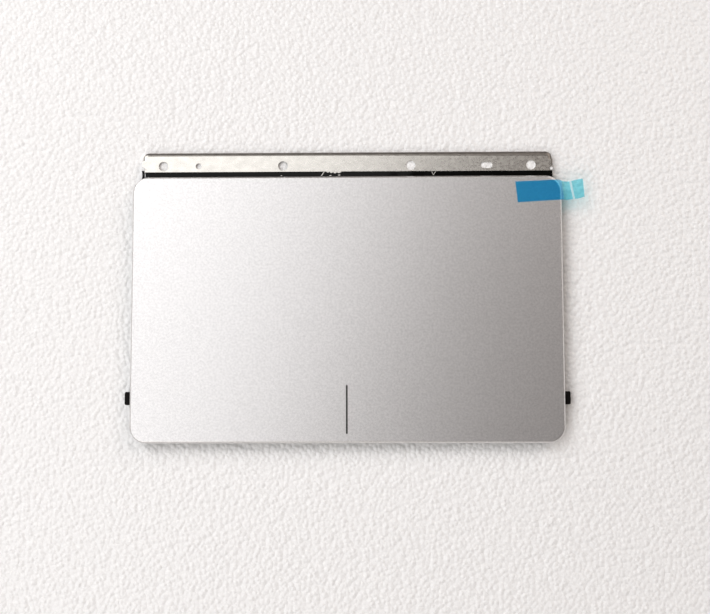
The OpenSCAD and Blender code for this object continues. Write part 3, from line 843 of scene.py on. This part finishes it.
def make_carrier():
    """The carrier, and the rivets with domed heads that hold the leaves to it."""
    soften_node("carrier_plate", "pad", "carrier_steel", edge=0.1)
    head_r = 1.1
    head_t = 0.3
    rim_t = 0.04
    shank_r = 0.6
    soft = 0.03
    # The head's dome and rim: share of its radius, and height
    dome = [(0.45, 0.02), (0.8, 0.08), (0.97, 0.18), (1, head_t - rim_t), (1, head_t)]
    low, high = box_mm("leaf_rivets")
    profile = [(0, low.z)] + [(head_r * share, low.z + rise) for share, rise in dome]
    profile += [(shank_r, low.z + head_t), (shank_r, high.z - soft), (shank_r - soft, high.z),
                (0, high.z)]
    leaf_w = 8.0
    leaf_x = box_mm("hinge_leaves")[1].x - leaf_w / 2
    rivet_dx = high.x - head_r - leaf_x
    bm = bmesh.new()
    for x in (-leaf_x, 0, leaf_x):
        for side in (-1, 1):
            turned(bm, x + side * rivet_dx, (low.y + high.y) / 2, profile)
    make_piece("rivets_domed", bm, "pad", ["rivet_steel"], ["leaf_rivets"])


# Circuit parts under the board

# The controller's leads on each side
LEADS = 12
LEAD_PITCH = 0.4
# The connector's contacts, and half the width of one
CONTACTS = 10
CONTACT_HALF = 0.1
# Half the width of a switch terminal
TERMINAL_HALF = 0.3
# From one of the regulator's leads to the next
REGULATOR_PITCH = 0.95
# A small chip, and the length of its metal ends
CHIP_L = 1.0
CHIP_W = 0.5
CHIP_END = 0.24
# Small chips: node, name, finish, how many along, and how many columns
CHIPS = [("capacitors", "capacitor_chips", "capacitor_ceramic", 4, 2),
         ("resistors", "resistor_chips", "resistor_black", 5, 1)]
# Solder at a lead, a chip's end, a contact and so on: length, width and height
LEAD_SOLDER = (0.33, 0.2, 0.22)
CHIP_SOLDER = (0.22, CHIP_W, 0.3)
REGULATOR_SOLDER = (0.22, 0.42, 0.1)
CONTACT_SOLDER = (0.25, 0.26, 0.09)
TERMINAL_SOLDER = (0.4, 2 * TERMINAL_HALF, 0.1)
# Solder at an anchor, which is as wide as the anchor: length and height
ANCHOR_SOLDER_L = 0.3
ANCHOR_SOLDER_H = 0.12


def solder(bm, x, y, angle, length, width, height):
    """Solder that slopes from a part's end at x, y down to the board, out along the angle."""
    turn = Matrix.Rotation(math.radians(angle), 2)
    thin = 0.03
    points = []
    for out, side in ((0, -1), (length, -1), (length, 1), (0, 1)):
        v = turn @ Vector((out, side * width / 2))
        points.append((x + v.x, y + v.y))
    base = ring(bm, points, BOARD_LOW.z)
    crest = [bm.verts.new((px, py, BOARD_LOW.z - rise))
             for (px, py), rise in zip(points, (height, thin, thin, height))]
    bridge(bm, [base, crest])
    bm.faces.new(base)
    bm.faces.new(crest)


def solder_ends(bm, low, high, y, length, width, height):
    """Solder at the right and the left end of a part, at y."""
    solder(bm, high.x, y, 0, length, width, height)
    solder(bm, low.x, y, 180, length, width, height)


def lead_offset(i):
    """How far the controller's lead i is from the middle of its side."""
    return (i - (LEADS - 1) / 2) * LEAD_PITCH


def contact_places():
    """The middles of the contacts' outer ends."""
    low, high = box_mm("connector_contacts")
    span = high.x - low.x - 2 * CONTACT_HALF
    return [(low.x + CONTACT_HALF + i * span / (CONTACTS - 1), low.y) for i in range(CONTACTS)]


def make_controller():
    """The controller, with a dot at its first lead, and the solder round it."""
    corner_r = 0.1
    corner_steps = 3
    chamfer = 0.06
    dot_r = 0.3
    dot_inset = 0.9
    dot_depth, dot_slope = 0.05, 0.03
    low, high = box_mm("touch_controller")
    w = high.x - low.x
    x, y = middle_of(low, high)
    dot = ((low.x + dot_inset, high.y - dot_inset, 2 * dot_r, 2 * dot_r, dot_r - HAIR),
           [(0, low.z), (dot_slope, low.z + dot_depth)])
    bm = bmesh.new()
    slab(bm, x, y, w, w, corner_r, [(0, high.z), (0, low.z + chamfer), (chamfer, low.z)],
         corner_steps, dot)
    make_piece("controller_package", bm, "pad", ["chip_black"], ["touch_controller"])
    tuck = 0.05
    bm = bmesh.new()
    for side in range(4):
        turn = Matrix.Rotation(math.radians(90 * side), 2)
        for i in range(LEADS):
            v = turn @ Vector((w / 2 - tuck, lead_offset(i)))
            solder(bm, x + v.x, y + v.y, 90 * side, *LEAD_SOLDER)
    make_piece("controller_solder", bm, "pad", ["tinned_metal"])


def chip_places(low, high, count, columns):
    """Middles of the small chips in a box: columns across and count along."""
    xs = [low.x + CHIP_L / 2, high.x - CHIP_L / 2][:columns]
    step = (high.y - low.y - CHIP_W) / (count - 1)
    return [(x, low.y + CHIP_W / 2 + i * step) for x in xs for i in range(count)]


def make_chips():
    """The small chips, with metal ends and solder."""
    tuck = 0.02
    for node, name, slot, count, columns in CHIPS:
        low, high = box_mm(node)
        bm = bmesh.new()
        joints = bmesh.new()
        for x, y in chip_places(low, high, count, columns):
            block(bm, (x - CHIP_L / 2 + CHIP_END, y - CHIP_W / 2 + tuck, low.z + tuck),
                  (x + CHIP_L / 2 - CHIP_END, y + CHIP_W / 2 - tuck, high.z))
            for side in (-1, 1):
                end_x = x + side * CHIP_L / 2
                xs = sorted((x + side * (CHIP_L / 2 - CHIP_END), end_x))
                block(bm, (xs[0], y - CHIP_W / 2, low.z), (xs[1], y + CHIP_W / 2, high.z), 1)
                solder(joints, end_x, y, 90 - 90 * side, *CHIP_SOLDER)
        make_piece(name, bm, "pad", [slot, "tinned_metal"], [node], edge=0.04)
        make_piece(name + "_solder", joints, "pad", ["tinned_metal"])


# Tracks beside the controller, from its middle: points and width
TRACKS = [([(3.3, side * 1.4), (4.6, side * 1.4), (4.9, side * 1.2)], 0.16) for side in (-1, 1)]
TRACKS += [([(3.3, side * 1.8), (4.5, side * 1.8), (4.9, side * 2.2)], 0.16) for side in (-1, 1)]
TRACKS += [([(6.4, y), (6.8, y), (7.2, y * 0.75), (8.4, y * 0.75)], 0.18)
           for y in (-2.4, -1.2, 0, 1.2, 2.4)]
TRACKS += [([(3.3, 0.2), (4.5, 0.2), (4.9, 0)], 0.16), ([(3.3, -0.2), (4.1, -0.2)], 0.16),
           ([(-4.8, 2.25), (-5.1, 2.25), (-5.6, 1.9), (-7.2, 1.9), (-7.6, 1.5), (-7.6, 1.1)], 0.3),
           ([(-4.8, -2.25), (-5.3, -2.25), (-5.7, -2.6), (-5.7, -4.1)], 0.3),
           ([(-4.8, 0.75), (-5, 0.85)], 0.3), ([(-4.8, -0.75), (-5, -0.85)], 0.3),
           ([(-7.9, 0), (-8.4, 0)], 0.3), ([(-7.9, -0.95), (-8.4, -0.95)], 0.3)]
# Widths of the tracks from the controller's leads, the contacts and the switch
LEAD_TRACK = 0.16
CONTACT_TRACK = 0.2
TERMINAL_TRACK = 0.4
# How far from the controller's side the tracks of its leads start, and how far from it the edge of
# the carrier's window is, where they end
LEAD_START = 0.28
WINDOW_GAP = 1.15
# Length of a track that leaves the connector or the switch
STUB = 0.55
# Vias and test pads beside the controller, from its middle
VIAS = [(4.1, -0.2), (-7.1, 2.4), (-6.4, 2.4), (-3.9, 1.5), (-3.9, -1.5), (7.7, 2.5), (7.7, -2.5),
        (-5.7, -3.1), (6.9, 3.2), (6.9, -3.2)]
TEST_PADS = [(-7.7, -3.2), (-6.7, -3.2), (-7.7, 3.3), (-6.5, 3.3), (5.2, 3.4), (5.2, -3.4)]
# Their profiles: radius, and how far below the board
VIA_PROFILE = [(0, 0), (0.2, 0), (0.2, 0.04), (0.1, 0.04), (0.08, 0.01), (0, 0.01)]
PAD_PROFILE = [(0, 0), (0.38, 0), (0.38, 0.03), (0.3, 0.05), (0, 0.06)]


def ribbon(points, width):
    """The outline of a ribbon along the points."""
    points = [Vector(p) for p in points]
    steps = [(b - a).normalized() for a, b in zip(points, points[1:])]
    left, right = [], []
    for p, before, after in zip(points, steps[:1] + steps, steps + steps[-1:]):
        along = (before + after).normalized()
        side = Vector((-along.y, along.x)) * width / 2 / before.dot(along)
        left.append(p + side)
        right.append(p - side)
    return left + right[::-1]


def make_tracks():
    """Tracks where the carrier's windows show the board."""
    track_t = 0.03
    low, high = box_mm("touch_controller")
    x, y = middle_of(low, high)
    tracks = [([(x + px, y + py) for px, py in points], width) for points, width in TRACKS]
    for i in range(LEADS):
        lead_x = x + lead_offset(i)
        for side in (-1, 1):
            ends = [(lead_x, y + side * (y - low.y + out)) for out in (LEAD_START, WINDOW_GAP)]
            tracks.append((ends, LEAD_TRACK))
    for contact_x, contact_y in contact_places():
        tracks.append(([(contact_x, contact_y), (contact_x, contact_y - STUB)], CONTACT_TRACK))
    low, high = box_mm("switch_terminals")
    for end_x in (low.x + TERMINAL_HALF, high.x - TERMINAL_HALF):
        for end_y, out in ((low.y, -1), (high.y, 1)):
            tracks.append(([(end_x, end_y), (end_x, end_y + out * STUB)], TERMINAL_TRACK))
    bm = bmesh.new()
    for points, width in tracks:
        prism(bm, ribbon(points, width), BOARD_LOW.z - track_t, BOARD_LOW.z)
    for face in bm.faces:
        face.material_index = 1
    make_piece("board_tracks", bm, "pad", ["board_mask", "board_track"])


def make_test_pads():
    """Vias and test pads beside the controller."""
    x, y = middle_of(*box_mm("touch_controller"))
    bm = bmesh.new()
    for places, outline, steps in ((VIAS, VIA_PROFILE, 20), (TEST_PADS, PAD_PROFILE, 24)):
        profile = [(radius, BOARD_LOW.z - depth) for radius, depth in outline]
        for px, py in places:
            turned(bm, x + px, y + py, profile, steps)
    make_piece("test_pads", bm, "pad", ["tinned_metal"])


def make_part_solder():
    """Solder at the ends of the larger parts' leads."""
    bm = bmesh.new()
    low, high = box_mm("voltage_regulator")
    middle_y = (low.y + high.y) / 2
    for y in (middle_y - REGULATOR_PITCH, middle_y, middle_y + REGULATOR_PITCH):
        solder_ends(bm, low, high, y, *REGULATOR_SOLDER)
    for x, y in contact_places():
        solder(bm, x, y, -90, *CONTACT_SOLDER)
    low, high = box_mm("connector_anchors")
    solder_ends(bm, low, high, (low.y + high.y) / 2, ANCHOR_SOLDER_L, high.y - low.y,
                ANCHOR_SOLDER_H)
    low, high = box_mm("switch_terminals")
    for y in (low.y + TERMINAL_HALF, high.y - TERMINAL_HALF):
        solder_ends(bm, low, high, y, *TERMINAL_SOLDER)
    make_piece("part_solder", bm, "pad", ["tinned_metal"])


def make_regulator():
    """The regulator, with tinned leads."""
    body_w = 1.6
    middle_x = middle_of(*box_mm("voltage_regulator"))[0]
    bm = cad_shape("voltage_regulator")
    for face in bm.faces:
        face.material_index = int(abs(face.calc_center_median().x - middle_x) > body_w / 2 + HAIR)
    make_piece("voltage_regulator_soft", bm, "pad", ["chip_black", "tinned_metal"],
               ["voltage_regulator"], edge=0.04)


# Nodes that keep their shape and get soft edges: node, body, finish, width of the rounding, and
# whether their flat faces are made whole first
SMALL_NODES = [
    ("circuit_board", "pad", "board_mask", 0.04, True),
    ("connector_housing", "pad", "connector_ivory", 0.03, True),
    ("connector_contacts", "pad", "contact_gold", 0.02, True),
    ("connector_anchors", "pad", "tinned_metal", 0.03, True),
    ("connector_flap", "cable_flap", "flap_brown", 0.04, True),
    ("switch_base", "pad", "switch_black", 0.06, True),
    ("switch_cover", "pad", "tinned_metal", 0.03, False),
    ("switch_terminals", "pad", "tinned_metal", 0.03, True),
]


def make_small_nodes():
    for node, body, slot, edge, whole in SMALL_NODES:
        soften_node(node, body, slot, edge, whole=whole)


def make_dome():
    """The snap dome with soft edges, on a mesh of its own."""
    dome = soften_node("switch_dome", "pad", "spring_steel", edge=0.01, segments=1)
    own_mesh(dome)


def make_plunger():
    """The button, with a rounded tip and a flange that keeps it behind the switch's cover."""
    tip_r = 1.0
    soft = 0.15
    cover_t = 0.15
    steps = 48
    low, high = box_mm("switch_button")
    flange_r = (high.x - low.x) / 2
    shoulder = box_mm("switch_cover")[0].z + cover_t
    profile = [(0, low.z)] + [(tip_r - inset, z) for inset, z in rounded_edge(low.z, soft, 1)]
    profile += [(tip_r, shoulder), (flange_r, shoulder), (flange_r, high.z), (0, high.z)]
    bm = bmesh.new()
    turned(bm, *middle_of(low, high), profile, steps)
    make_piece("button_plunger", bm, "button", ["button_ivory"], ["switch_button"])


def dress_adhesives():
    for node in ("cover_adhesive", "plate_adhesive"):
        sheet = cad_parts[node].data
        sheet.materials.clear()
        sheet.materials.append(materials["adhesive"])


# Floor

# Half the length of the floor's side, in metres
FLOOR_HALF = 3.0
# Where the soft floor swells up into the flange's holes and end notches: the middle, the radius
# and how far the swell stays below the flange
SWELLS = [(-45.3, 0, 1.5, 0.6), (-36.6, 0, 1.5, 0.6), (-15.75, 0, 1.5, 0.7), (15.75, 0, 1.5, 0.35),
          (34.4, 0, 1.5, 0.35), (45.3, 0, 1.5, 0.35), (-50.35, -0.85, 0.35, 0.3),
          (50.35, -0.85, 0.35, 0.3)]


def make_floor():
    """A plain floor of white foam, with the swells under the flange."""
    foot_share, low_share, high_share = 1.8, 1.6, 1.3
    low_rise = 0.4
    high_drop = 0.25
    floor_z = cad_low.z / MM
    bm = bmesh.new()
    corners = [(-1, -1), (1, -1), (1, 1), (-1, 1)]
    bm.faces.new([bm.verts.new((sx * FLOOR_HALF / MM, sy * FLOOR_HALF / MM, floor_z))
                  for sx, sy in corners])
    for x, y, r, drop in SWELLS:
        top = FLANGE_HIGH.z - drop
        turned(bm, x, y, [
            (0, floor_z - HAIR), (foot_share * r, floor_z - HAIR),
            (low_share * r, floor_z + low_rise), (high_share * r, top - high_drop), (r, top),
            (0, top)])
    floor = make_piece("floor", bm, None, ["floor_white"])


make_camera()
make_light()
make_floor()
make_cover()
make_flange()
make_burr()
make_strip()
make_seal_end()
make_slivers()
make_film()
make_tab()
make_side_rubber()
make_carrier()
make_controller()
make_chips()
make_tracks()
make_test_pads()
make_part_solder()
make_regulator()
make_small_nodes()
make_dome()
make_plunger()
dress_adhesives()
